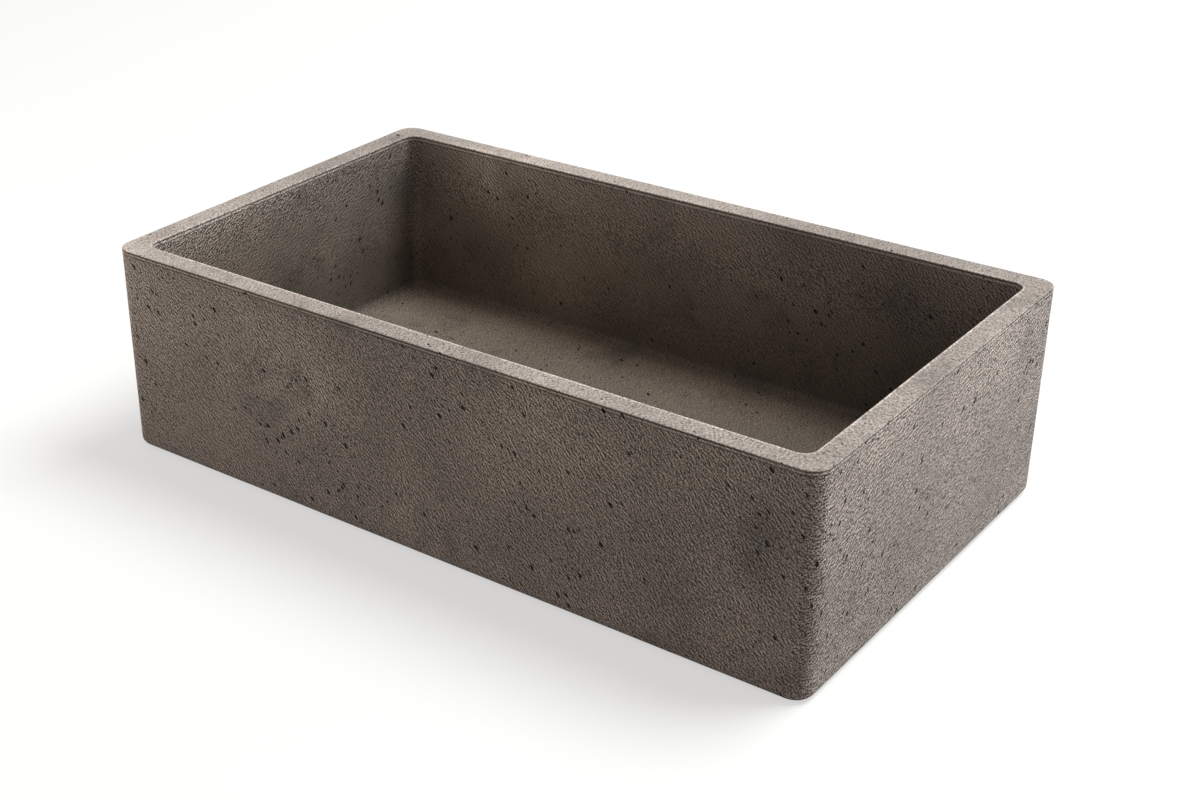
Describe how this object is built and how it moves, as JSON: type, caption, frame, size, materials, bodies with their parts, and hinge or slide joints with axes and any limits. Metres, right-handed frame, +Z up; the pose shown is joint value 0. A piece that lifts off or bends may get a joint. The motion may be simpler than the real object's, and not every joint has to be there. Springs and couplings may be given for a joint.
{
  "type": "farmhouse sink",
  "caption": "Rectangular apron-front kitchen sink cast in concrete, with a twist-lock basket strainer in its floor and a straight tailpiece below.",
  "frame": {"origin": "middle of the basin's underside, which stands on the cabinet", "axes": "+X along the apron to the right, +Y from the apron to the back, +Z up along the drain's axis"},
  "size_m": [0.9144, 0.5334, 0.4114],
  "materials": {
    "concrete": "hand-cast concrete, matt sealed, fine grain with small air pits",
    "stainless": "satin, brushed round the axis",
    "brass": "turned, dulled",
    "chrome": "polished plate",
    "rubber": "matt moulded",
    "foam_rubber": "closed-cell foam",
    "fibre_board": "pressed fibre",
    "nylon": "moulded, satin"
  },
  "bodies": {
    "sink": {"basin": "concrete", "strainer_body": "stainless", "outlet_spud": "brass", "lock_bridge": "stainless", "flange_seal": "foam_rubber", "rubber_gasket": "rubber", "friction_ring": "fibre_board", "locknut": "brass", "tailpiece_washer": "nylon", "coupling_nut": "chrome", "tailpiece": "chrome"},
    "strainer_basket": {"basket": "stainless", "stopper": "rubber", "stopper_washer": "stainless", "post_bush": "brass", "bush_nut": "brass"},
    "twist_lock": {"lock_post": "stainless", "lock_knob": "chrome", "lock_bar": "stainless", "post_seal": "rubber"}
  },
  "joints": [
    {"name": "basket_lift", "type": "slide", "parent": "sink", "child": "strainer_basket", "axis": [0, 0, 1], "range_m": [0, 0.3155]},
    {"name": "lock_turn", "type": "hinge", "parent": "strainer_basket", "child": "twist_lock", "pos_m": [0, 0, -0.0371], "axis": [0, 0, 1], "range_deg": [0, 90]}
  ]
}
